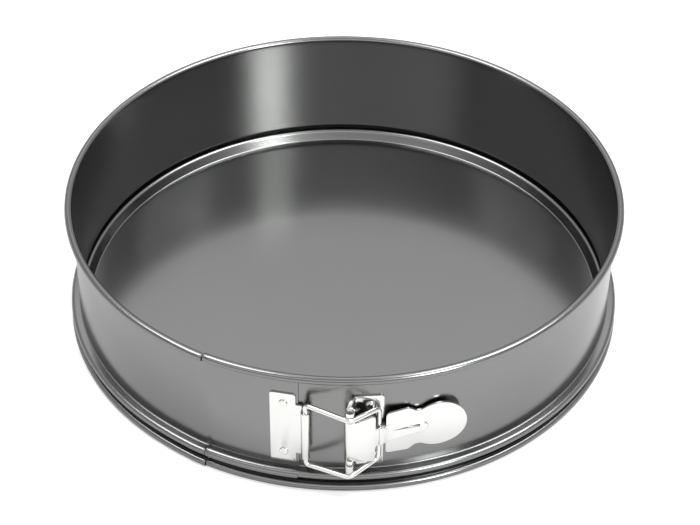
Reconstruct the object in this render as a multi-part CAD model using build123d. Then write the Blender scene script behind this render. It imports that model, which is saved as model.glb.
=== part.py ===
from build123d import *
from math import acos, cos, degrees, radians, sin, tan
import os

os.makedirs("parts", exist_ok=True)

# Springform cake tin, in millimetres. The axis of the tin is Z, the foot stands on z = 0 and the buckle faces -Y.
# An azimuth is 0 at -Y and grows towards +X. The rolls of the large rings have flats, and their bends are either
# one flat or sharp, so that the rings keep few faces.

# Band of steel sheet
bore_radius = 140.0
band_height = 72.4
band_sheet = 0.5
rim_roll_radius = 2.0
foot_roll_radius = 2.0
roll_sides = 8

# Groove for the base, as a bead that stands out of the wall
groove_top = 11.3
groove_height = 4.0
groove_reach = 5.5
groove_bend = 1.6
neck_reach = 2.3

# Overlap of the band's ends
butt_gap = 0.3
lap_clearance = 0.15
lap_start_azimuth = -27.2
lap_end_azimuth = -8.4
lap_run_angle = 12.0
tongue_top_clearance = 0.25
tongue_lip = 0.95
tongue_root_lift = 2.9

# Loose base
base_sheet = 0.6
base_edge_clearance = 1.6
base_seat_clearance = 0.1
base_floor_top = 3.2
base_floor_inset = 3.7
base_slope_angle = 64.0
base_shoulder_bend = 1.9

# Buckle, shared values
buckle_drop = 2.45
seat_clearance = 0.05
running_fit = 0.05
plate_corner = 1.5

# Catch plate on the tongue
catch_azimuth = -11.3
catch_sheet = 0.9
catch_left = 6.35
catch_right = 6.0
catch_foot_clearance = 3.8
catch_notch_height = 6.5
catch_curl_step = 1.1
catch_curl_reach = 11.25
catch_curl_stand = 3.4
catch_curl_gap = 0.3
catch_curl_gap_angle = -45.0
catch_bend = 0.9

# Bracket of the lever
bracket_azimuth = 5.3
bracket_sheet = 0.8
bracket_right = 6.3
bracket_left = 7.2
bracket_foot_clearance = 3.7
bracket_bend = 0.9
pin_reach = 10.16
pin_stand = 6.04
pin_radius = 1.4
pin_seat_clearance = 0.02
pin_recess = 0.4
lug_slope = 1.4
lug_height = 8.1

# Rivets
rivet_head_radius = 2.1
rivet_head_height = 0.6
rivet_head_taper = 35.0
rivet_sides = 12
rivet_shank_radius = 1.2
rivet_tail_radius = 1.8
rivet_tail_height = 0.35
catch_rivet_inset = 6.4
bracket_rivet_inset = 5.8

# Lever, as a strip that starts on the roll round the pin
lever_sheet = 1.0
lever_end_clearance = 0.4
lever_side_clearance = 0.5
lever_root_length = 8.9
lever_step_length = 6.3
lever_drop_length = 3.0
lever_leaf_length = 31.2
lever_tip_length = 8.35
lever_headings = [12.8, 25.0, 39.8, 17.6, 13.2, 9.0]
lever_bends = [3.0, 2.5, 2.0, 150.0, 25.0]
lever_root_overhang = 2.0
lever_root_reach = 12.0
lever_root_corner = 2.0
lever_neck_half_height = 5.2
lever_neck_corner = 1.0
lever_head_start = 17.0
lever_head_half_height = 12.7
lever_head_swell = 0.85
lever_head_corner = 2.0
lever_head_fall = 3.4
lever_waist_lead = 10.9
lever_waist_half_height = 10.9
lever_waist_corner = 2.5
thumb_radius = 13.5
rib_height = 0.9
rib_start_half_width = 5.3
rib_end_half_width = 3.0
rib_start = 14.0
rib_end_lead = 4.9

# Wire bail
wire_radius = 1.25
wire_sides = 8
wire_bend = 2.2
crossbar_bend = 3.2
knee_bend = 3.5
bail_side_reach = 4.8
knee_stand = 6.8
knee_taper = 1.1
crossbar_taper = 2.0
wire_butt_gap = 0.3
crossbar_clearance = 0.3

# Sizes that follow from those above
wall_outer = bore_radius + band_sheet
tongue_inner = wall_outer + lap_clearance
tongue_outer = tongue_inner + band_sheet
lap_shift = band_sheet + lap_clearance
rim_height = band_height - rim_roll_radius
rim_underside = rim_height - rim_roll_radius
neck_inner = bore_radius + neck_reach - band_sheet
groove_bottom = groove_top - groove_height
base_floor_radius = bore_radius - base_floor_inset
buckle_height = (groove_top + rim_underside) / 2 - buckle_drop
catch_inner = tongue_outer + seat_clearance
catch_outer = catch_inner + catch_sheet
catch_curl_bore = wire_radius + running_fit
bracket_inner = wall_outer + seat_clearance
bracket_outer = bracket_inner + bracket_sheet
catch_half_height = buckle_height - groove_top - catch_foot_clearance
catch_tab_half_height = catch_half_height - catch_notch_height
catch_curl_half_height = catch_tab_half_height - catch_curl_step
catch_rivet_height = catch_half_height - catch_rivet_inset
bracket_half_height = buckle_height - groove_top - bracket_foot_clearance
bracket_rivet_height = bracket_half_height - bracket_rivet_inset
lug_outer_half_height = bracket_half_height - lug_slope
lug_inner_half_height = lug_outer_half_height - lug_height
pin_half_length = lug_outer_half_height - pin_recess
lever_roll_half_height = lug_inner_half_height - lever_end_clearance
lever_root_half_height = lug_inner_half_height + lever_root_overhang
bail_side_half_height = catch_curl_half_height + bail_side_reach
knee_half_height = bail_side_half_height - knee_taper
crossbar_half_height = knee_half_height - crossbar_taper


def left_of(heading):
    return Vector(-heading.Y, heading.X)


def beside(corners, distance):
    """Corners of the line that runs at a distance to the left of a line through corners."""
    moved = []
    for index, corner in enumerate(corners):
        before = corner - corners[index - 1] if index else corners[1] - corner
        after = corners[index + 1] - corner if index < len(corners) - 1 else before
        first = left_of(before.normalized())
        second = left_of(after.normalized())
        moved.append(corner + (first + second) * (distance / (1 + first.dot(second))))
    return moved


def bends_beside(corners, bends, distance):
    """Bend radii of that line, where the bends are those of the first line's inner corners."""
    moved = []
    for index, bend in enumerate(bends):
        before = corners[index + 1] - corners[index]
        after = corners[index + 2] - corners[index + 1]
        moved.append(bend - distance if left_of(before).dot(after) > 0 else bend + distance)
    return moved


def strip(corners, bends, to_left, to_right):
    """Section of bent sheet between two lines beside its middle line."""
    left = beside(corners, to_left)
    right = beside(corners, -to_right)
    left_bends = [0, *bends_beside(corners, bends, to_left), 0]
    right_bends = [0, *bends_beside(corners, bends, -to_right), 0]
    outline = FilletPolyline(*left, *reversed(right), radius=[*left_bends, *reversed(right_bends)], close=True)
    return make_face(outline)


def sheet(corners, bends, thickness):
    return strip(corners, bends, thickness / 2, thickness / 2)


def flat_bend(before, corner, after, bend):
    """The two ends of the flat that stands for an arc of a bend radius at a corner."""
    arriving = (corner - before).normalized()
    leaving = (after - corner).normalized()
    leg = bend * tan(radians(arriving.get_angle(leaving) / 2))
    return [corner - arriving * leg, corner + leaving * leg]


def ring_sheet(points, thickness):
    """Section of sheet about a line of points, for a ring."""
    return make_face(Polyline(*beside(points, thickness / 2), *reversed(beside(points, -thickness / 2)), close=True))


def walk(start, headings, lengths):
    """Corners of a line that goes on from start by each length at each heading."""
    corners = [start]
    for heading, length in zip(headings, lengths):
        corners.append(corners[-1] + Vector(length, 0).rotate(Axis.Z, heading))
    return corners


def tangent_point(outside, centre, radius, side):
    """Point where the line from outside touches a circle, on its left (side 1) or right (side -1)."""
    away = outside - centre
    turn = degrees(acos(radius / away.length))
    return centre + (away.normalized() * radius).rotate(Axis.Z, side * turn)


def at_azimuth(azimuth):
    """Unit vector that points outwards at an azimuth."""
    return Vector(0, -1).rotate(Axis.Z, azimuth)


def swept(section, start, end, centre=Vector(0, 0)):
    """Solid of a section in radius and height, turned about a vertical axis from one azimuth to another."""
    solid = revolve(Plane.XZ * section, Axis.Z, end - start)
    return Pos(centre.X, centre.Y) * Rot(0, 0, start - 90) * solid


def band_line():
    """Middle line of the band's sheet from the rim down to the foot."""
    wall = bore_radius + band_sheet / 2
    groove = bore_radius + groove_reach - band_sheet / 2
    neck = neck_inner + band_sheet / 2
    top = groove_top - band_sheet / 2
    bottom = groove_bottom + band_sheet / 2
    heights = [rim_height, top, top, bottom, bottom, foot_roll_radius]
    rim, root, upper, lower, neck_top, foot = [
        Vector(r, z) for r, z in zip([wall, wall, groove, groove, neck, neck], heights)
    ]
    bead = [*flat_bend(root, upper, lower, groove_bend), *flat_bend(upper, lower, neck_top, groove_bend)]
    return [rim, root, *bead, neck_top, foot]


def roll_section(inner, middle_height, radius):
    """Rolled edge of the sheet, whose inside is in line with the sheet."""
    roll = RegularPolygon(radius, roll_sides, major_radius=False, rotation=180 / roll_sides)
    return Pos(inner + radius, middle_height) * roll


def wall_section():
    rim = roll_section(bore_radius, rim_height, rim_roll_radius)
    foot = roll_section(neck_inner, foot_roll_radius, foot_roll_radius)
    return ring_sheet(band_line(), band_sheet) + rim + foot


def tongue_section():
    """The wall without rolls, moved out by the lap, down to a lip under the groove."""
    wall_top, *bead = beside(band_line(), lap_shift)[:-2]
    top = Vector(wall_top.X, rim_underside - tongue_top_clearance)
    lip = Vector(bead[-1].X - tongue_lip, bead[-1].Y)
    return ring_sheet([top, *bead, lip], band_sheet)


def tongue_root():
    """Short plain stretch of the wall that carries the tongue past a relief gap in the groove."""
    top = rim_underside - tongue_top_clearance
    bottom = groove_top + tongue_root_lift
    return Pos(tongue_inner + band_sheet / 2, (top + bottom) / 2) * Rectangle(band_sheet, top - bottom)


def side_band():
    """Open ring whose outer end runs outwards over its inner end and goes on as a tongue without rolls."""
    wall = wall_section()
    run_start = lap_start_azimuth - lap_run_angle
    run_middle = lap_start_azimuth - lap_run_angle / 2
    tail_start = lap_start_azimuth + degrees(butt_gap / bore_radius)
    # Two arcs that are tangent to the ring and to each other move the outer end out by the lap's shift.
    drift = lap_shift / (2 * (1 - cos(radians(lap_run_angle / 2))))
    ring = swept(wall, tail_start, run_start + 360)
    outward = swept(Pos(drift) * wall, run_start, run_middle, at_azimuth(run_start) * -drift)
    settling = swept(Pos(lap_shift - drift) * wall, run_middle, lap_start_azimuth, at_azimuth(lap_start_azimuth) * drift)
    root = swept(tongue_root(), lap_start_azimuth, tail_start)
    tongue = swept(tongue_section(), tail_start, lap_end_azimuth)
    band = ring + outward + settling + (root + tongue)
    tongue_holes = rivet_holes(catch_rivet_places(), tongue_inner - lap_clearance / 2)
    return band - tongue_holes - rivet_holes(bracket_rivet_places(), neck_inner - neck_reach)


def base_plate():
    lip = groove_bottom + band_sheet + base_seat_clearance + base_sheet / 2
    floor = base_floor_top - base_sheet / 2
    edge = bore_radius + groove_reach - band_sheet - base_edge_clearance
    rise = lip - floor
    shoulder = base_floor_radius + rise / sin(radians(base_slope_angle)) * cos(radians(base_slope_angle))
    centre = Vector(0, floor)
    slope_foot = Vector(base_floor_radius, floor)
    slope_top = Vector(shoulder, lip)
    rim = Vector(edge, lip)
    line = [centre, slope_foot, *flat_bend(slope_foot, slope_top, rim, base_shoulder_bend), rim]
    return swept(ring_sheet(line, base_sheet), 0, 360)


def on_front(piece, azimuth, radius):
    """Piece that is drawn at the origin, moved out to a radius and turned to an azimuth at the buckle's height."""
    return Rot(0, 0, azimuth) * Pos(0, -radius, buckle_height) * piece


def upright(section, half_height):
    return extrude(section, half_height, both=True)


def front_cut(section, reach):
    """Front outline in x and z, drawn through everything that the section of a piece reaches."""
    return extrude(Plane.XZ * section, reach, both=True)


def catch_rivet_places():
    return [on_front(Pos(0, 0, side * catch_rivet_height), catch_azimuth, 0) for side in (-1, 1)]


def bracket_rivet_places():
    return [on_front(Pos(0, 0, side * bracket_rivet_height), bracket_azimuth, 0) for side in (-1, 1)]


def rivet_holes(places, start):
    """Holes of a pair of rivets, from a distance from the tin's axis outwards."""
    outline = Plane.XZ.offset(start) * RegularPolygon(rivet_shank_radius + running_fit, rivet_sides)
    hole = extrude(outline, bore_radius + groove_reach - start)
    return [place * hole for place in places]


def catch_plate():
    """Flat plate whose tab turns outwards and is curled round the wire, back towards the band."""
    middle = catch_sheet / 2
    roll_radius = catch_curl_bore + catch_sheet
    leg = catch_curl_reach - catch_curl_bore - middle
    corners = [Vector(-catch_left, -middle), Vector(leg, -middle), Vector(leg, -catch_curl_stand)]
    curl = Pos(catch_curl_reach, -catch_curl_stand)
    gap = Rot(0, 0, catch_curl_gap_angle) * Pos(-roll_radius / 2, 0) * Rectangle(roll_radius, catch_curl_gap)
    roll = curl * (Circle(roll_radius) - gap)
    section = sheet(corners, [catch_bend], catch_sheet) + roll - curl * Circle(catch_curl_bore)
    width = catch_left + catch_right
    body = Pos((catch_right - catch_left) / 2, 0) * RectangleRounded(width, 2 * catch_half_height, plate_corner)
    tab_end = catch_curl_reach - roll_radius
    tab = Pos(tab_end / 2, 0) * Rectangle(tab_end, 2 * catch_tab_half_height)
    curl_end = catch_curl_reach + roll_radius
    neck = Pos(curl_end / 2, 0) * Rectangle(curl_end, 2 * catch_curl_half_height)
    solid = upright(section, catch_half_height) & front_cut(body + tab + neck, catch_curl_reach)
    return on_front(solid, catch_azimuth, catch_inner) - rivet_holes(catch_rivet_places(), tongue_inner)


def lever_bracket():
    middle = bracket_sheet / 2
    pin = Vector(-pin_reach, -pin_stand)
    lug_inner = pin_radius + pin_seat_clearance
    bend = Vector(-bracket_left, -middle)
    touch = tangent_point(bend, pin, lug_inner + middle, 1)
    plate = sheet([Vector(bracket_right, -middle), bend, touch], [bracket_bend], bracket_sheet)
    roll = Pos(*pin) * (Circle(lug_inner + bracket_sheet) - Circle(lug_inner))
    section = plate + roll - Pos(*pin) * Circle(lug_inner)
    flat_left = bracket_left - bracket_bend
    body = Pos((bracket_right - bracket_left) / 2, 0) * RectangleRounded(
        bracket_left + bracket_right, 2 * bracket_half_height, plate_corner
    )
    lug_end = pin_reach + lug_inner + bracket_sheet
    lug_corners = [(-flat_left, bracket_half_height), (-lug_end, lug_outer_half_height)]
    lugs = make_face(Polyline(*lug_corners, *[(x, -z) for x, z in reversed(lug_corners)], close=True))
    window_width = lug_end - flat_left
    window = Pos(-lug_end + window_width / 2, 0) * Rectangle(window_width, 2 * lug_inner_half_height)
    solid = upright(section, bracket_half_height) & front_cut(body + lugs - window, pin_reach)
    return on_front(solid, bracket_azimuth, bracket_inner) - rivet_holes(bracket_rivet_places(), bore_radius)


def pin_centre():
    return Vector(-pin_reach, -bracket_inner - pin_stand).rotate(Axis.Z, bracket_azimuth)


def curl_centre():
    return Vector(catch_curl_reach, -catch_inner - catch_curl_stand).rotate(Axis.Z, catch_azimuth)


def rivet(head_start, inner_end):
    """Rivet about -Y: a low head with sloped sides and a shank, drawn with a few flats."""
    seat = head_start + seat_clearance
    base = Plane.XZ.offset(seat) * RegularPolygon(rivet_head_radius, rivet_sides)
    shank = Plane.XZ.offset(inner_end) * RegularPolygon(rivet_shank_radius, rivet_sides)
    return extrude(base, rivet_head_height, taper=rivet_head_taper) + extrude(shank, seat - inner_end)


def catch_rivets():
    flush = rivet(catch_outer, tongue_inner + seat_clearance)
    return Compound([place * flush for place in catch_rivet_places()])


def bracket_rivets():
    inside = bore_radius - seat_clearance
    tail = Plane.XZ.offset(inside - rivet_tail_height) * RegularPolygon(rivet_tail_radius, rivet_sides)
    through = rivet(bracket_outer, inside) + extrude(tail, rivet_tail_height)
    return Compound([place * through for place in bracket_rivet_places()])


def hinge_pin():
    centre = pin_centre()
    return Pos(centre.X, centre.Y, buckle_height) * Cylinder(pin_radius, 2 * pin_half_length)


def lever_corners():
    roll = pin_radius + running_fit + lever_sheet / 2
    start = Vector(0, -roll).rotate(Axis.Z, lever_headings[0])
    leaf = lever_leaf_length / 2
    lengths = [lever_root_length, lever_step_length, lever_drop_length, leaf, leaf, lever_tip_length]
    return walk(start, lever_headings, lengths)


def thumb_middle():
    """Distance from the pin to the middle of the round thumb tab."""
    return lever_corners()[-1].X - thumb_radius


def lever_outline():
    """Front outline of the lever in distance from the pin and height."""
    roll = pin_radius + running_fit + lever_sheet
    head = lever_head_half_height + lever_head_swell
    thumb = thumb_middle()
    waist = thumb - lever_waist_lead
    upper = [
        (-roll, lever_roll_half_height),
        (roll + lever_side_clearance, lever_roll_half_height),
        (lever_root_reach, lever_root_half_height),
        (lever_root_reach, lever_neck_half_height),
        (lever_head_start, lever_neck_half_height),
        (lever_head_start, lever_head_half_height),
        (waist - lever_head_fall, head),
        (waist, lever_waist_half_height),
        (thumb, lever_waist_half_height),
    ]
    lower = [(x, -z) for x, z in reversed(upper)]
    corners = [0, 0, lever_root_corner, lever_neck_corner, lever_neck_corner, lever_head_corner, lever_waist_corner]
    corners = [*corners, lever_waist_corner, 0]
    leaf = make_face(FilletPolyline(*upper, *lower, radius=[*corners, *reversed(corners)], close=True))
    outline = leaf + Pos(thumb, 0) * Circle(thumb_radius)
    meets = outline.vertices().filter_by(lambda v: waist < v.X < thumb)
    return fillet(meets.filter_by(lambda v: abs(v.Y) > lever_neck_half_height).sort_by(Axis.X)[-2:], lever_waist_corner)


def rib_outline():
    round_end = thumb_middle() - rib_end_lead - rib_end_half_width
    side = [(rib_start, rib_start_half_width), (round_end, rib_end_half_width)]
    corners = [*side, *[(x, -z) for x, z in reversed(side)]]
    return make_face(Polyline(*corners, close=True)) + Pos(*corners[1][:1], 0) * Circle(rib_end_half_width)


def lever():
    corners = lever_corners()
    middle = lever_sheet / 2
    roll_inner = pin_radius + running_fit
    roll = Circle(roll_inner + lever_sheet) - Circle(roll_inner)
    leaf = sheet(corners, lever_bends, lever_sheet)
    rib = strip(corners, lever_bends, 0, middle + rib_height)
    reach = lever_leaf_length
    body = upright(leaf + roll - Circle(roll_inner), lever_root_half_height) & front_cut(lever_outline(), reach)
    body = body + (upright(rib, rib_start_half_width) & front_cut(rib_outline(), reach))
    centre = pin_centre()
    return Pos(centre.X, centre.Y, buckle_height) * body


def wire_bail():
    """Wire loop: one side turns in the curl, the arms pass over the pin and the crossbar sits behind the neck."""
    curl = curl_centre()
    pin = pin_centre()
    knee = pin + Vector(0, -knee_stand)
    crossbar = pin + beside(lever_corners(), lever_sheet / 2 + crossbar_clearance + wire_radius)[2]
    upper = [
        (curl.X, curl.Y, wire_butt_gap / 2),
        (curl.X, curl.Y, bail_side_half_height),
        (knee.X, knee.Y, knee_half_height),
        (crossbar.X, crossbar.Y, crossbar_half_height),
    ]
    lower = [(x, y, -z) for x, y, z in reversed(upper)]
    bends = [wire_bend, knee_bend, crossbar_bend, crossbar_bend, knee_bend, wire_bend]
    path = FilletPolyline(*upper, *lower, radius=bends)
    wire = sweep(Plane(upper[0], z_dir=(0, 0, 1)) * RegularPolygon(wire_radius, wire_sides), path)
    return Pos(0, 0, buckle_height) * wire


pieces = {
    "side_band": side_band,
    "base_plate": base_plate,
    "catch_plate": catch_plate,
    "catch_rivets": catch_rivets,
    "lever_bracket": lever_bracket,
    "bracket_rivets": bracket_rivets,
    "hinge_pin": hinge_pin,
    "lever": lever,
    "wire_bail": wire_bail,
}

for name, make in pieces.items():
    piece = make()
    export_step(piece, f"parts/{name}.step")
    print(name, round(piece.volume, 1), piece.bounding_box())
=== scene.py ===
import math
import bpy
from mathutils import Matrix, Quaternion, Vector


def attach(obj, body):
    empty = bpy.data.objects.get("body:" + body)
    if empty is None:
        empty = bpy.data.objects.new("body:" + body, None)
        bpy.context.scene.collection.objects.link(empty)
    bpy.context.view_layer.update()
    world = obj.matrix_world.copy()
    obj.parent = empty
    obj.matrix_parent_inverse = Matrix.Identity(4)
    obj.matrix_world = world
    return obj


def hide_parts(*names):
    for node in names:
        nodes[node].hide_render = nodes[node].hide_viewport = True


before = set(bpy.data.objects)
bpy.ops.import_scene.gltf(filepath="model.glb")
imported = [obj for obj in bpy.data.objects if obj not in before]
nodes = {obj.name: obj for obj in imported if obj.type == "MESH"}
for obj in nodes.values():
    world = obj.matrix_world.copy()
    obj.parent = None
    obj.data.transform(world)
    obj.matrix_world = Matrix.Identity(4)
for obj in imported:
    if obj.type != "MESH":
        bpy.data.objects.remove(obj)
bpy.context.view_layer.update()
mm = 0.001
print("frame loaded with", len(nodes), "nodes")


# Camera

# Places in metres, lens and sensor in mm, roll in radians
cameraSizes = {
    "place": (0.0, -0.7429, 0.64787), "aim": (0.003214, 0.0, 0.0218), "roll": 0.01215,
    "lens": 93.4718, "sensor": 36.0, "nearest": 0.01,
}


def makeCamera():
    place = Vector(cameraSizes["place"])
    bpy.ops.object.camera_add(location=place)
    camera = bpy.context.object
    camera.name = "photoCamera"
    camera.data.lens = cameraSizes["lens"]
    camera.data.sensor_width = cameraSizes["sensor"]
    camera.data.clip_start = cameraSizes["nearest"]
    camera.rotation_mode = "QUATERNION"
    look = (Vector(cameraSizes["aim"]) - place).to_track_quat("-Z", "Y")
    camera.rotation_quaternion = look @ Quaternion((0, 0, 1), cameraSizes["roll"])
    bpy.context.scene.camera = camera


# Materials

def linearColour(hexCode):
    channels = [int(hexCode[i:i + 2], 16) / 255 for i in (1, 3, 5)]
    return [c / 12.92 if c <= 0.04045 else ((c + 0.055) / 1.055) ** 2.4 for c in channels] + [1.0]


def addNode(material, kind, settings=None, links=None):
    tree = material.node_tree
    node = tree.nodes.new(kind)
    for name, value in (settings or {}).items():
        if name in node.inputs.keys():
            node.inputs[name].default_value = value
        else:
            setattr(node, name, value)
    for name, source in (links or {}).items():
        tree.links.new(source, node.inputs[name])
    return node


def emptyMaterial(name):
    material = bpy.data.materials.new(name)
    material.use_nodes = True
    material.node_tree.nodes.clear()
    return material


def noisePattern(material, place, size, detail):
    # The size is that of one patch, in mm
    settings = {"Scale": 1 / (size * mm), "Detail": detail}
    return addNode(material, "ShaderNodeTexNoise", settings, {"Vector": place}).outputs["Fac"]


def finishMetal(material, settings, patches, relief):
    # The patches vary the roughness, and the relief is the height of the bump
    low, high = settings["roughness"]
    rough = addNode(material, "ShaderNodeMapRange", {"To Min": low, "To Max": high}, {"Value": patches})
    height = {"Strength": settings["bumpStrength"], "Distance": settings["bumpHeight"] * mm}
    bump = addNode(material, "ShaderNodeBump", height, {"Height": relief})
    shader = addNode(
        material, "ShaderNodeBsdfPrincipled",
        {"Base Color": linearColour(settings["colour"]), "Metallic": 1.0},
        {"Roughness": rough.outputs["Result"], "Normal": bump.outputs["Normal"]},
    )
    addNode(material, "ShaderNodeOutputMaterial", links={"Surface": shader.outputs["BSDF"]})
    return material


coatingSettings = {
    "colour": "#7c7d7c", "roughness": (0.18, 0.24), "bumpStrength": 0.03, "bumpHeight": 0.05,
    "grainSize": 0.5, "grainDetail": 2.0, "cloudSize": 40.0, "cloudDetail": 3.0,
}


def coatedSteel():
    # Sprayed and baked non-stick coating on sheet steel: dark grey with a metallic lustre and a satin sheen
    sizes = coatingSettings
    material = emptyMaterial("nonStickCoatedSteel")
    place = addNode(material, "ShaderNodeTexCoord").outputs["Object"]
    grain = noisePattern(material, place, sizes["grainSize"], sizes["grainDetail"])
    cloud = noisePattern(material, place, sizes["cloudSize"], sizes["cloudDetail"])
    return finishMetal(material, sizes, cloud, grain)


platingSettings = {
    "colour": "#d6d6d4", "roughness": (0.1, 0.2), "bumpStrength": 0.04, "bumpHeight": 0.05,
    "scratchLength": 6.0, "scratchWidth": 0.12, "scratchDetail": 3.0,
}


def nickelPlating():
    # Bright nickel plating on stamped steel: mirror-like with faint rolling marks of the sheet below
    sizes = platingSettings
    material = emptyMaterial("brightNickelPlatedSteel")
    place = addNode(material, "ShaderNodeTexCoord").outputs["Object"]
    across = 1 / sizes["scratchWidth"]
    stretch = {"Scale": (1 / sizes["scratchLength"], across, across)}
    marks = addNode(material, "ShaderNodeMapping", stretch, {"Vector": place}).outputs["Vector"]
    rolled = noisePattern(material, marks, 1.0, sizes["scratchDetail"])
    return finishMetal(material, sizes, rolled, rolled)


# Modelling steps that the pieces share

up = Vector((0, 0, 1))
tinAxis = Vector((0, 0, 0))
nearly = 0.01  # mm between two places that count as one


def atAzimuth(azimuth, radius, height=0.0):
    # An azimuth is 0 in front, at -Y, and grows towards +X
    turn = math.radians(azimuth)
    return Vector((radius * math.sin(turn), -radius * math.cos(turn), height)) * mm


def azimuthOf(place):
    return math.degrees(math.atan2(place.x, -place.y))


def radiusOf(place):
    return math.hypot(place.x, place.y) / mm


def startPoint(name, place):
    bpy.ops.object.select_all(action="DESELECT")
    bpy.ops.mesh.primitive_plane_add(size=mm, location=place)
    piece = bpy.context.object
    piece.name = name
    bpy.ops.object.mode_set(mode="EDIT")
    bpy.ops.mesh.merge(type="CENTER")
    return piece


def extrudeBy(step):
    bpy.ops.mesh.extrude_region_move(TRANSFORM_OT_translate={"value": step})


def turnBy(degrees, centre, axis, steps):
    # The operator turns clockwise
    bpy.ops.mesh.spin(steps=steps, angle=-math.radians(degrees), center=centre, axis=axis)


def drawSection(azimuth, start, heading, path):
    # A number goes straight on, in mm; a bend has a radius, degrees to the left of the way and steps
    radius, height = start
    for step in path:
        if isinstance(step, tuple):
            bend, degrees, steps = step
            across = math.radians(heading + math.copysign(90, degrees))
            middle = (radius + bend * math.cos(across), height + bend * math.sin(across))
            turnBy(-degrees, atAzimuth(azimuth, *middle), atAzimuth(azimuth + 90, 1 / mm), steps)
            after = across + math.pi + math.radians(degrees)
            radius, height = middle[0] + bend * math.cos(after), middle[1] + bend * math.sin(after)
            heading += degrees
        else:
            way = math.radians(heading)
            extrudeBy(atAzimuth(azimuth, step * math.cos(way), step * math.sin(way)))
            radius, height = radius + step * math.cos(way), height + step * math.sin(way)


def selectWhere(piece, kind, wanted):
    # wanted gets a vertex's place, the two ends of an edge, or a face's middle and normal
    bpy.ops.mesh.select_mode(type="VERT")
    bpy.ops.mesh.select_all(action="DESELECT")
    bpy.ops.mesh.select_mode(type=kind)
    bpy.ops.object.mode_set(mode="OBJECT")
    mesh = piece.data
    if kind == "VERT":
        for vertex in mesh.vertices:
            vertex.select = bool(wanted(piece.matrix_world @ vertex.co))
    elif kind == "EDGE":
        for edge in mesh.edges:
            ends = [mesh.vertices[i].co for i in edge.vertices]
            edge.select = bool(wanted(ends[0], ends[1]))
    else:
        for face in mesh.polygons:
            face.select = bool(wanted(face.center, face.normal))
    bpy.ops.object.mode_set(mode="EDIT")


def mergeAll(distance=0.001):
    bpy.ops.mesh.select_mode(type="VERT")
    bpy.ops.mesh.select_all(action="SELECT")
    bpy.ops.mesh.remove_doubles(threshold=distance * mm)
    bpy.ops.mesh.normals_make_consistent(inside=False)


def putDown(piece):
    if bpy.context.object and bpy.context.object.mode == "EDIT":
        bpy.ops.object.mode_set(mode="OBJECT")
    bpy.ops.object.select_all(action="DESELECT")
    piece.select_set(True)
    bpy.context.view_layer.objects.active = piece
    bpy.ops.object.transform_apply(location=True, rotation=True, scale=True)


def joinAll(pieces):
    bpy.ops.object.select_all(action="DESELECT")
    for piece in pieces:
        piece.select_set(True)
    bpy.context.view_layer.objects.active = pieces[0]
    bpy.ops.object.join()
    return pieces[0]


def useModifier(piece, kind, **settings):
    modifier = piece.modifiers.new(kind.lower(), kind)
    for name, value in settings.items():
        setattr(modifier, name, value)
    bpy.ops.object.modifier_apply(modifier=modifier.name)


def softenEdges(piece, width, sharpest=40, steps=2):
    useModifier(
        piece, "BEVEL", width=width * mm, segments=steps, limit_method="ANGLE",
        angle_limit=math.radians(sharpest), use_clamp_overlap=True, harden_normals=False,
    )


def finishPiece(piece, body, slot, material, *replaced, smooth=35):
    putDown(piece)
    bpy.ops.object.shade_smooth_by_angle(angle=math.radians(smooth))
    piece.data.materials.clear()
    piece.data.materials.append(material)
    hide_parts(*replaced)
    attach(piece, body)
    print(piece.name, "made with", len(piece.data.polygons), "faces")


# Side band: one strip of sheet with rolled edges, drawn as a section and spun round the tin

bandSizes = {
    "sheet": 0.5, "wall": 140.25, "rimHeight": 70.4, "rollRadius": 1.75, "rollTurn": 315,
    "wallEnd": 12.05, "rootBend": 1.0, "beadTopWidth": 2.4, "beadBend": 1.6, "beadSide": 0.3,
    "beadUnderWidth": 0.75, "neckBend": 0.85, "neckHeight": 4.7,
    "tongueTop": 68.15, "tongueRoot": 14.2, "lapShift": 0.65, "tongueLip": 0.95,
    "lapStart": -27.2, "runAngle": 12.0, "slit": 0.1228, "lapEnd": -8.4,
    "ringSteps": 240, "runSteps": 6, "lapSteps": 16,
    "rollSteps": 18, "rootSteps": 8, "beadSteps": 6, "lapBeadSteps": 7, "neckSteps": 4,
    "seam": 0.004, "edgeBevel": 0.1, "edgeAngle": 60,
}


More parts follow.
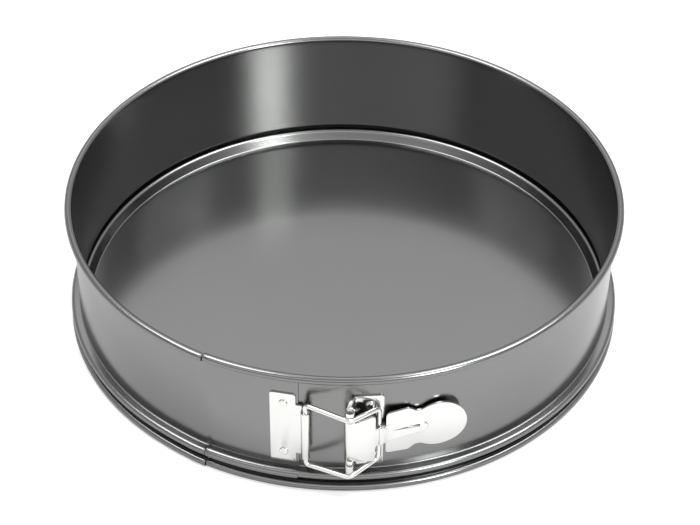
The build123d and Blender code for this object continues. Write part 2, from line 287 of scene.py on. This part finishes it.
def makeBand():
    sizes = bandSizes
    lapStart = sizes["lapStart"]
    tailStart, runStart = lapStart + sizes["slit"], lapStart - sizes["runAngle"]
    roll, rollTurn, rim = sizes["rollRadius"], sizes["rollTurn"], sizes["rimHeight"]
    top, root, wallEnd = sizes["tongueTop"], sizes["tongueRoot"], sizes["wallEnd"]
    shift, beadBend, beadSteps = sizes["lapShift"], sizes["beadBend"], sizes["beadSteps"]
    rollStart = math.radians(180 - rollTurn)
    start = (sizes["wall"] + roll + roll * math.cos(rollStart), rim + roll * math.sin(rollStart))
    band = startPoint("bandSheet", atAzimuth(tailStart, *start))
    drawSection(tailStart, start, 270 - rollTurn, [
        (roll, rollTurn, sizes["rollSteps"]),
        rim - top, top - root, root - wallEnd,
        (sizes["rootBend"], 90, sizes["rootSteps"]), sizes["beadTopWidth"],
        (beadBend, -90, beadSteps), sizes["beadSide"], (beadBend, -90, beadSteps),
        sizes["beadUnderWidth"], (sizes["neckBend"], 90, sizes["neckSteps"]), sizes["neckHeight"],
        (roll, rollTurn, sizes["rollSteps"]),
    ])
    bpy.ops.mesh.select_all(action="SELECT")
    turnBy(runStart + 360 - tailStart, tinAxis, up, sizes["ringSteps"])
    # Two opposite arcs lead the outer end out over the inner one
    half = sizes["runAngle"] / 2
    drift = shift / (2 * (1 - math.cos(math.radians(half))))
    turnBy(half, atAzimuth(runStart, -drift), up, sizes["runSteps"])
    turnBy(half, atAzimuth(lapStart, drift), up, sizes["runSteps"])
    outer = sizes["wall"] + shift

    def onOuterEnd(place):
        level = root - nearly < place.z / mm < top + nearly
        return level and abs(radiusOf(place) - outer) < nearly and abs(azimuthOf(place) - lapStart) < nearly

    selectWhere(band, "VERT", onOuterEnd)
    turnBy(sizes["slit"], tinAxis, up, 1)
    putDown(band)

    # The tongue has no rolls and its bead lies over the other end's bead
    beadBend, beadSteps = beadBend + shift, sizes["lapBeadSteps"]
    tongue = startPoint("bandTongue", atAzimuth(tailStart, outer, top))
    drawSection(tailStart, (outer, top), 270, [
        top - root, root - wallEnd,
        (sizes["rootBend"] - shift, 90, sizes["rootSteps"]), sizes["beadTopWidth"],
        (beadBend, -90, beadSteps), sizes["beadSide"], (beadBend, -90, beadSteps),
        sizes["tongueLip"],
    ])
    bpy.ops.mesh.select_all(action="SELECT")
    turnBy(sizes["lapEnd"] - tailStart, tinAxis, up, sizes["lapSteps"])
    putDown(tongue)
    joinAll([band, tongue])
    bpy.ops.object.mode_set(mode="EDIT")
    mergeAll(sizes["seam"])
    putDown(band)
    useModifier(band, "SOLIDIFY", thickness=sizes["sheet"] * mm, offset=0.0, use_even_offset=True)
    softenEdges(band, sizes["edgeBevel"], sharpest=sizes["edgeAngle"])
    return band


# Base: a dished disc with a flat edge

baseSizes = {
    "sheet": 0.6, "floorHeight": 2.9, "floorRadius": 135.55, "footBend": 1.2, "slope": 64,
    "slopeLength": 3.96, "shoulderBend": 1.9, "edgeRadius": 143.4,
    "ringSteps": 240, "footSteps": 5, "shoulderSteps": 6, "seam": 0.004, "edgeBevel": 0.12, "edgeAngle": 60,
}


def makeBase():
    sizes = baseSizes
    slope = math.radians(sizes["slope"])
    bends = sizes["footBend"] + sizes["shoulderBend"]
    reach = bends * math.sin(slope) + sizes["slopeLength"] * math.cos(slope)
    base = startPoint("basePan", Vector((0, 0, sizes["floorHeight"])) * mm)
    drawSection(0, (0, sizes["floorHeight"]), 0, [
        sizes["floorRadius"],
        (sizes["footBend"], sizes["slope"], sizes["footSteps"]),
        sizes["slopeLength"],
        (sizes["shoulderBend"], -sizes["slope"], sizes["shoulderSteps"]),
        sizes["edgeRadius"] - sizes["floorRadius"] - reach,
    ])
    bpy.ops.mesh.select_all(action="SELECT")
    turnBy(360, tinAxis, up, sizes["ringSteps"])
    mergeAll(sizes["seam"])
    putDown(base)
    useModifier(base, "SOLIDIFY", thickness=sizes["sheet"] * mm, offset=0.0, use_even_offset=True)
    softenEdges(base, sizes["edgeBevel"], sharpest=sizes["edgeAngle"])
    return base


# Stamped plates and lever: merged copies of the CAD solids with softened edges

stampedSizes = {
    "catch_plate": {"name": "catchSheet", "edge": 0.14},
    "lever_bracket": {"name": "bracketSheet", "edge": 0.14},
    "hinge_pin": {"name": "pinWire", "edge": 0.3},
    "lever": {"name": "leverSheet", "edge": 0.16},
}
flatAngle = 0.5  # degrees between two faces that count as one


def copyOf(node):
    piece = bpy.data.objects.new(stampedSizes[node]["name"], nodes[node].data.copy())
    bpy.context.scene.collection.objects.link(piece)
    putDown(piece)
    bpy.ops.object.mode_set(mode="EDIT")
    mergeAll()
    bpy.ops.mesh.dissolve_limited(angle_limit=math.radians(flatAngle), use_dissolve_boundaries=False)
    putDown(piece)
    return piece


def makeCatch():
    catch = copyOf("catch_plate")
    softenEdges(catch, stampedSizes["catch_plate"]["edge"])
    return catch


earSizes = {
    "azimuth": 5.3, "height": 37.4, "left": (-13.0, -6.4), "root": 142.6, "bend": 145.2, "front": 151.0,
    "drop": (22.3, 18.4), "cutHeight": 8.0, "pinEnd": 18.0,
}


def makeBracket():
    # The upper ear falls off steeply from the plate to the roll round the pin
    bracket = copyOf("lever_bracket")
    sizes = earSizes
    root, bend, front = sizes["root"], sizes["bend"], sizes["front"]
    left, right = sizes["left"]
    high, low = sizes["drop"]
    middle = ((left + right) / 2, -(bend + front) / 2, sizes["height"] + low + sizes["cutHeight"] / 2)
    bpy.ops.object.select_all(action="DESELECT")
    bpy.ops.mesh.primitive_cube_add(size=mm, location=Vector(middle) * mm)
    cutter = bpy.context.object
    cutter.scale = (right - left, front - bend, sizes["cutHeight"])
    putDown(cutter)
    bpy.ops.object.mode_set(mode="EDIT")
    selectWhere(cutter, "FACE", lambda place, normal: normal.y > 0.9)
    extrudeBy(Vector((0, bend - root, 0)) * mm)
    selectWhere(cutter, "VERT", lambda place: place.y / mm > -root - nearly and place.z / mm < middle[2])
    bpy.ops.transform.translate(value=up * (high - low) * mm)
    bpy.ops.object.mode_set(mode="OBJECT")
    cutter.rotation_euler.z = math.radians(sizes["azimuth"])
    putDown(cutter)
    bpy.ops.object.mode_set(mode="EDIT")
    mergeAll()
    putDown(bracket)
    useModifier(bracket, "BOOLEAN", object=cutter, operation="DIFFERENCE", solver="EXACT")
    bpy.data.objects.remove(cutter)
    softenEdges(bracket, stampedSizes["lever_bracket"]["edge"])
    return bracket


def makePin():
    pin = copyOf("hinge_pin")
    bpy.ops.object.mode_set(mode="EDIT")
    bpy.ops.mesh.select_all(action="SELECT")
    end = up * (earSizes["height"] + earSizes["pinEnd"]) * mm
    bpy.ops.mesh.bisect(plane_co=end, plane_no=up, use_fill=True, clear_outer=True)
    putDown(pin)
    softenEdges(pin, stampedSizes["hinge_pin"]["edge"])
    return pin


ribSizes = {
    "pin": (3.424, -146.902), "height": 37.4, "start": 13.5, "end": 38.0, "halfWidth": 5.4,
    "line": [(9.111, 0.07), (14.821, 2.733), (17.125, 4.653), (31.995, 9.37), (47.183, 12.932)],
    "top": 1.4, "topBend": 0.5, "topSteps": 4, "foot": 0.5, "footBend": 0.35, "footSteps": 3,
    "sharpest": 60, "lineReach": 0.2,
    "groove": {
        "start": (20.0, 1.9), "end": (32.6, 1.9), "halfHeight": 1.1,
        "stand": 1.0, "depth": 1.5, "tipShare": 0.06,
    },
}


def outFromLeaf(place):
    # Distance in front of the middle of the lever's sheet, in mm
    x, y = place.x / mm - ribSizes["pin"][0], place.y / mm - ribSizes["pin"][1]
    line = ribSizes["line"]
    pair = next((p for p in zip(line, line[1:]) if x < p[1][0]), (line[-2], line[-1]))
    (ax, ay), (bx, by) = pair
    length = math.hypot(bx - ax, by - ay)
    return ((x - ax) * (by - ay) - (y - ay) * (bx - ax)) / length


def bendRib(piece, distance, bend, steps):
    def onLine(place):
        x, z = place.x / mm - ribSizes["pin"][0], place.z / mm - ribSizes["height"]
        inside = ribSizes["start"] < x < ribSizes["end"] and abs(z) < ribSizes["halfWidth"]
        return inside and abs(outFromLeaf(place) - distance) < ribSizes["lineReach"]

    bpy.ops.object.mode_set(mode="EDIT")
    bpy.ops.mesh.select_mode(type="EDGE")
    bpy.ops.mesh.select_all(action="DESELECT")
    bpy.ops.mesh.edges_select_sharp(sharpness=math.radians(ribSizes["sharpest"]))
    bpy.ops.object.mode_set(mode="OBJECT")
    mesh = piece.data
    sharp = {edge.index for edge in mesh.edges if edge.select}
    bpy.ops.object.mode_set(mode="EDIT")
    bpy.ops.mesh.select_all(action="DESELECT")
    bpy.ops.object.mode_set(mode="OBJECT")
    for edge in mesh.edges:
        edge.select = edge.index in sharp and all(onLine(mesh.vertices[i].co) for i in edge.vertices)
    print("rib edges bent:", sum(edge.select for edge in mesh.edges))
    bpy.ops.object.mode_set(mode="EDIT")
    bpy.ops.mesh.bevel(offset=bend * mm, segments=steps, affect="EDGES")
    bpy.ops.object.mode_set(mode="OBJECT")


def grooveCutter():
    # The wedge is pointed at the neck's end and has a level ledge below
    groove, line = ribSizes["groove"], ribSizes["line"]
    (ax, ay), (bx, by) = line[2], line[3]
    heading = math.atan2(by - ay, bx - ax)
    along = Vector((math.cos(heading), math.sin(heading), 0))
    out = Vector((math.sin(heading), -math.cos(heading), 0))
    pin = Vector((*ribSizes["pin"], ribSizes["height"]))

    def onRib(x, z, outwards):
        onLeaf = pin + Vector((ax, ay, z)) + along * ((x - ax) / math.cos(heading))
        return onLeaf + out * (ribSizes["top"] + outwards)

    first, last = groove["start"], groove["end"]
    middle = onRib((first[0] + last[0]) / 2, first[1], groove["stand"] / 2)
    bpy.ops.object.select_all(action="DESELECT")
    bpy.ops.mesh.primitive_cube_add(size=mm, location=middle * mm, rotation=(0, 0, heading))
    cutter = bpy.context.object
    cutter.name = "grooveCutter"
    cutter.scale = ((last[0] - first[0]) / math.cos(heading), groove["stand"], 2 * groove["halfHeight"])
    putDown(cutter)
    bpy.ops.object.mode_set(mode="EDIT")
    selectWhere(cutter, "VERT", lambda place: (place / mm - middle).dot(out) < 0 and place.z / mm < middle.z)
    bpy.ops.transform.translate(value=-out * groove["depth"] * mm)
    selectWhere(cutter, "VERT", lambda place: (place / mm - middle).dot(along) < 0)
    tip = onRib(first[0], first[1], 0.0)
    bpy.ops.transform.resize(value=(1, 1, groove["tipShare"]), center_override=tip * mm)
    putDown(cutter)
    return cutter


def makeLever():
    lever = copyOf("lever")
    bendRib(lever, ribSizes["top"], ribSizes["topBend"], ribSizes["topSteps"])
    bendRib(lever, ribSizes["foot"], ribSizes["footBend"], ribSizes["footSteps"])
    cutter = grooveCutter()
    putDown(lever)
    useModifier(lever, "BOOLEAN", object=cutter, operation="DIFFERENCE", solver="EXACT")
    bpy.data.objects.remove(cutter)
    softenEdges(lever, stampedSizes["lever"]["edge"])
    return lever


# Rivets: low domed heads

rivetSizes = {
    "headRadius": 2.1, "headHeight": 0.6, "dome": 0.5, "headSides": 32, "bevelSteps": 5,
    "shankRadius": 1.2, "shankSides": 20,
    "tailRadius": 1.8, "tailHeight": 0.35, "tailBevel": 0.15, "tailSides": 24,
    "catch": {"azimuth": -11.3, "heights": (21.5, 53.3), "seat": 142.15, "inside": 140.7},
    "bracket": {"azimuth": 5.3, "heights": (20.8, 54.0), "seat": 141.4, "inside": 139.95},
}


def makeDisc(radius, inner, outer, bevel, sides):
    # A bevel above 0 is on the outer rim, and one below 0 on the inner rim
    bpy.ops.object.select_all(action="DESELECT")
    middle = (0, -(inner + outer) / 2 * mm, 0)
    bpy.ops.mesh.primitive_cylinder_add(
        vertices=sides, radius=radius * mm, depth=(outer - inner) * mm,
        location=middle, rotation=(math.pi / 2, 0, 0),
    )
    disc = bpy.context.object
    bpy.ops.object.transform_apply(location=True, rotation=True, scale=True)
    if bevel:
        face = outer if bevel > 0 else inner
        bpy.ops.object.mode_set(mode="EDIT")
        selectWhere(disc, "EDGE", lambda *ends: all(abs(end.y / mm + face) < nearly for end in ends))
        bpy.ops.mesh.bevel(offset=abs(bevel) * mm, segments=rivetSizes["bevelSteps"], affect="EDGES")
        bpy.ops.object.mode_set(mode="OBJECT")
    return disc


def makeRivets(name, kind, tail):
    sizes, place = rivetSizes, rivetSizes[kind]
    seat, inside = place["seat"], place["inside"]
    parts = [
        makeDisc(sizes["headRadius"], seat, seat + sizes["headHeight"], sizes["dome"], sizes["headSides"]),
        makeDisc(sizes["shankRadius"], inside, seat, 0, sizes["shankSides"]),
    ]
    if tail:
        end = inside - sizes["tailHeight"]
        parts.append(makeDisc(sizes["tailRadius"], end, inside, -sizes["tailBevel"], sizes["tailSides"]))
    first = joinAll(parts)
    first.name = name
    second = bpy.data.objects.new(name + "Copy", first.data.copy())
    bpy.context.scene.collection.objects.link(second)
    for rivet, height in zip((first, second), place["heights"]):
        rivet.location.z = height * mm
        rivet.rotation_euler.z = math.radians(place["azimuth"])
        putDown(rivet)
    return joinAll([first, second])


# Bail: bright wire bent along straight runs and arcs

bailSizes = {
    "radius": 1.25, "sides": 16, "buckleHeight": 37.4, "butt": 0.15,
    "corners": [(-17.3019, -144.001, 19.5), (3.424, -153.7018, 18.4), (17.137, -142.424, 16.4)],
    "bends": [(2.2, 8), (3.5, 8), (3.2, 8)],
}


def makeBail():
    sizes = bailSizes
    corners = [Vector(corner) for corner in sizes["corners"]]
    upper = [Vector((*corners[0].xy, sizes["butt"])), *corners]
    lower = [Vector((c.x, c.y, -c.z)) for c in reversed(upper)]
    route = [(c + up * sizes["buckleHeight"]) * mm for c in upper + lower]
    bends = sizes["bends"] + list(reversed(sizes["bends"]))
    bpy.ops.object.select_all(action="DESELECT")
    radius = sizes["radius"] * mm
    bpy.ops.mesh.primitive_circle_add(vertices=sizes["sides"], radius=radius, location=route[0])
    bail = bpy.context.object
    bail.name = "bailWire"
    bpy.ops.object.mode_set(mode="EDIT")
    bpy.ops.mesh.select_all(action="SELECT")
    at = route[0]
    for before, corner, after, (bend, steps) in zip(route, route[1:], route[2:], bends):
        arriving, leaving = (corner - before).normalized(), (after - corner).normalized()
        turn = arriving.angle(leaving)
        leg = bend * mm * math.tan(turn / 2)
        extrudeBy(corner - arriving * leg - at)
        inwards = (leaving - arriving * math.cos(turn)).normalized()
        centre = corner - arriving * leg + inwards * bend * mm
        turnBy(math.degrees(turn), centre, arriving.cross(leaving).normalized(), steps)
        at = corner + leaving * leg
    extrudeBy(route[-1] - at)
    bpy.ops.mesh.select_all(action="SELECT")
    bpy.ops.mesh.fill_holes(sides=0)
    mergeAll()
    return bail


# Stage

# Sizes in metres; each seen strength is for the camera, for the rays that metal mirrors and for all others
stageSettings = {
    "width": 8.0, "height": -0.0002, "paper": (0.8, 0.8, 0.8, 1),
    "paperSeen": (0.36, 0.11, 0.0), "worldSeen": (1.0, 0.7, 0.3),
}


def seenStrength(holder, byCamera, byMetal, byOthers):
    ray = addNode(holder, "ShaderNodeLightPath").outputs
    metal = {"To Min": byOthers, "To Max": byMetal}
    other = addNode(holder, "ShaderNodeMapRange", metal, {"Value": ray["Is Glossy Ray"]}).outputs["Result"]
    links = {"Value": ray["Is Camera Ray"], "To Min": other}
    return addNode(holder, "ShaderNodeMapRange", {"To Max": byCamera}, links).outputs["Result"]


def makeStage():
    sizes = stageSettings
    bpy.ops.mesh.primitive_plane_add(size=sizes["width"], location=(0, 0, sizes["height"]))
    floor = bpy.context.object
    floor.name = "studioFloor"
    paper = emptyMaterial("whitePaperFloor")
    diffuse = addNode(paper, "ShaderNodeBsdfDiffuse", {"Color": sizes["paper"]})
    glow = addNode(paper, "ShaderNodeEmission", links={"Strength": seenStrength(paper, *sizes["paperSeen"])})
    both = addNode(paper, "ShaderNodeAddShader")
    paper.node_tree.links.new(diffuse.outputs["BSDF"], both.inputs[0])
    paper.node_tree.links.new(glow.outputs["Emission"], both.inputs[1])
    addNode(paper, "ShaderNodeOutputMaterial", links={"Surface": both.outputs["Shader"]})
    floor.data.materials.append(paper)


# Places and sizes in metres, power in watts; every lamp points at the middle of the foot
lampSettings = {
    "leftSoftbox": {"place": (-0.62, 0.05, 1.35), "size": (0.7, 0.7), "power": 10.5},
    "rightSoftbox": {"place": (0.62, 0.05, 1.35), "size": (0.7, 0.7), "power": 15.0},
    "topSoftbox": {"place": (0.0, 0.9, 1.5), "size": (1.5, 1.2), "power": 5.4},
    "frontSoftbox": {"place": (-0.1, -1.2, 0.95), "size": (2.4, 0.5), "power": 4.4},
    "frontStrip": {"place": (0.66, -0.96, 0.78), "size": (0.3, 0.5), "power": 7.5},
}


def makeLights():
    for name, lamp in lampSettings.items():
        place = Vector(lamp["place"])
        bpy.ops.object.light_add(type="AREA", location=place)
        light = bpy.context.object
        light.name = name
        light.rotation_euler = (-place).to_track_quat("-Z", "Y").to_euler()
        light.data.shape = "RECTANGLE"
        light.data.size, light.data.size_y = lamp["size"]
        light.data.energy = lamp["power"]
    world = bpy.data.worlds.new("studioWorld")
    world.use_nodes = True
    bpy.context.scene.world = world
    background = world.node_tree.nodes["Background"]
    background.inputs["Color"].default_value = (1, 1, 1, 1)
    strength = seenStrength(world, *stageSettings["worldSeen"])
    world.node_tree.links.new(strength, background.inputs["Strength"])


makeCamera()
makeStage()
makeLights()
print("camera, floor and lights placed")
coating = coatedSteel()
plating = nickelPlating()
finishPiece(makeBand(), "tin_ring", "coated_steel", coating, "side_band", smooth=30)
finishPiece(makeBase(), "base", "coated_steel", coating, "base_plate", smooth=30)
finishPiece(makeCatch(), "tin_ring", "plated_steel", plating, "catch_plate")
finishPiece(makeBracket(), "tin_ring", "plated_steel", plating, "lever_bracket")
finishPiece(makePin(), "tin_ring", "plated_steel", plating, "hinge_pin")
finishPiece(makeLever(), "lever", "plated_steel", plating, "lever")
catchRivets = makeRivets("catchRivets", "catch", False)
finishPiece(catchRivets, "tin_ring", "plated_steel", plating, "catch_rivets")
bracketRivets = makeRivets("bracketRivets", "bracket", True)
finishPiece(bracketRivets, "tin_ring", "plated_steel", plating, "bracket_rivets")
finishPiece(makeBail(), "bail", "plated_steel", plating, "wire_bail", smooth=60)
bpy.context.scene.view_settings.view_transform = "Standard"
